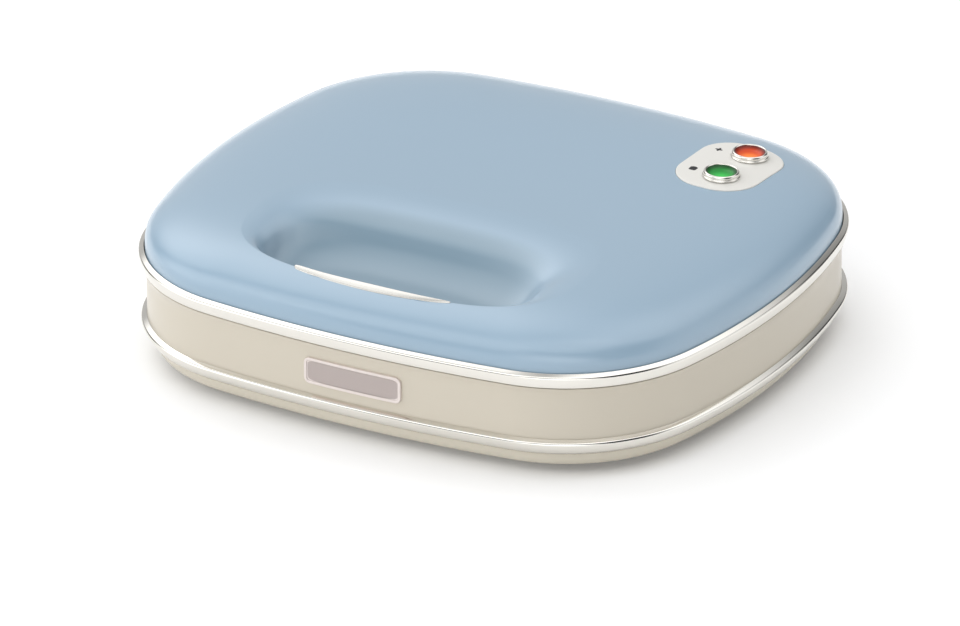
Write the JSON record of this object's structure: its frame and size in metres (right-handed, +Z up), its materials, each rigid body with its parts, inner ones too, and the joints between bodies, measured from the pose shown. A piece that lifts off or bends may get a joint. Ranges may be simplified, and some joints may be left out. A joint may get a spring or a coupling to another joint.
{
  "type": "sandwich toaster",
  "caption": "Low countertop sandwich toaster with a domed hinged lid, a finger scoop in its front edge, two indicator lamps and toasting plates with triangular pockets.",
  "frame": {"origin": "centre of the closed toaster's bounding box, on the plane that its feet rest on", "axes": "+X to the right when seen from the front, +Y to the rear where the hinge is, +Z up"},
  "size_m": [0.258, 0.2328, 0.0668],
  "materials": {
    "blue_cover": "high-gloss light blue lacquer",
    "chrome_trim": "bright chrome plate",
    "panel_grey": "satin light grey",
    "red_lens": "translucent red-orange",
    "green_lens": "translucent green",
    "lamp_holder_plastic": "heat-proof white",
    "bulb_glass": "clear glass",
    "heat_plastic": "black phenolic",
    "screw_steel": "zinc plated",
    "non_stick": "non-stick coated cast aluminium",
    "element_steel": "heat-tinted steel sheath",
    "reflector_metal": "bright sheet",
    "hinge_steel": "plated steel",
    "cream_band": "semi-gloss warm cream",
    "tray_plastic": "semi-gloss light grey-beige",
    "badge_metal": "satin, raised rim",
    "thermostat_metal": "bare",
    "fuse_metal": "bare",
    "gland_rubber": "matte",
    "foot_rubber": "matte"
  },
  "bodies": {
    "base": {"base_band": "cream_band", "base_trim_ring": "chrome_trim", "base_tray": "tray_plastic", "badge_plate": "badge_metal", "base_inner_frame": "heat_plastic", "base_screws": "screw_steel", "lower_plate": "non_stick", "lower_heating_element": "element_steel", "lower_reflector": "reflector_metal", "lower_plate_screws": "screw_steel", "thermostat": "thermostat_metal", "thermal_fuse": "fuse_metal", "terminal_block": "heat_plastic", "terminal_screws": "screw_steel", "cord_gland": "gland_rubber", "foot_front_left": "foot_rubber", "foot_front_right": "foot_rubber", "foot_rear_left": "foot_rubber", "foot_rear_right": "foot_rubber", "hinge_bracket_left": "hinge_steel", "hinge_bracket_right": "hinge_steel", "hinge_bracket_screws": "screw_steel", "hinge_pin_left": "hinge_steel", "hinge_pin_right": "hinge_steel"},
    "lid": {"lid_cover": "blue_cover", "lid_trim_ring": "chrome_trim", "grip_trim": "chrome_trim", "lamp_panel": "panel_grey", "power_lamp_bezel": "chrome_trim", "ready_lamp_bezel": "chrome_trim", "power_lamp_lens": "red_lens", "ready_lamp_lens": "green_lens", "lamp_holder": "lamp_holder_plastic", "lamp_bulbs": "bulb_glass", "lid_inner_frame": "heat_plastic", "lid_frame_screws": "screw_steel", "upper_plate": "non_stick", "upper_heating_element": "element_steel", "upper_reflector": "reflector_metal", "upper_plate_screws": "screw_steel", "hinge_arm_left": "hinge_steel", "hinge_arm_right": "hinge_steel", "hinge_arm_screws": "screw_steel"}
  },
  "joints": [
    {"name": "lid_hinge", "type": "hinge", "parent": "base", "child": "lid", "pos_m": [0, 0.11215, 0.0365], "axis": [-1, 0, 0], "range_deg": [0, 100]}
  ]
}
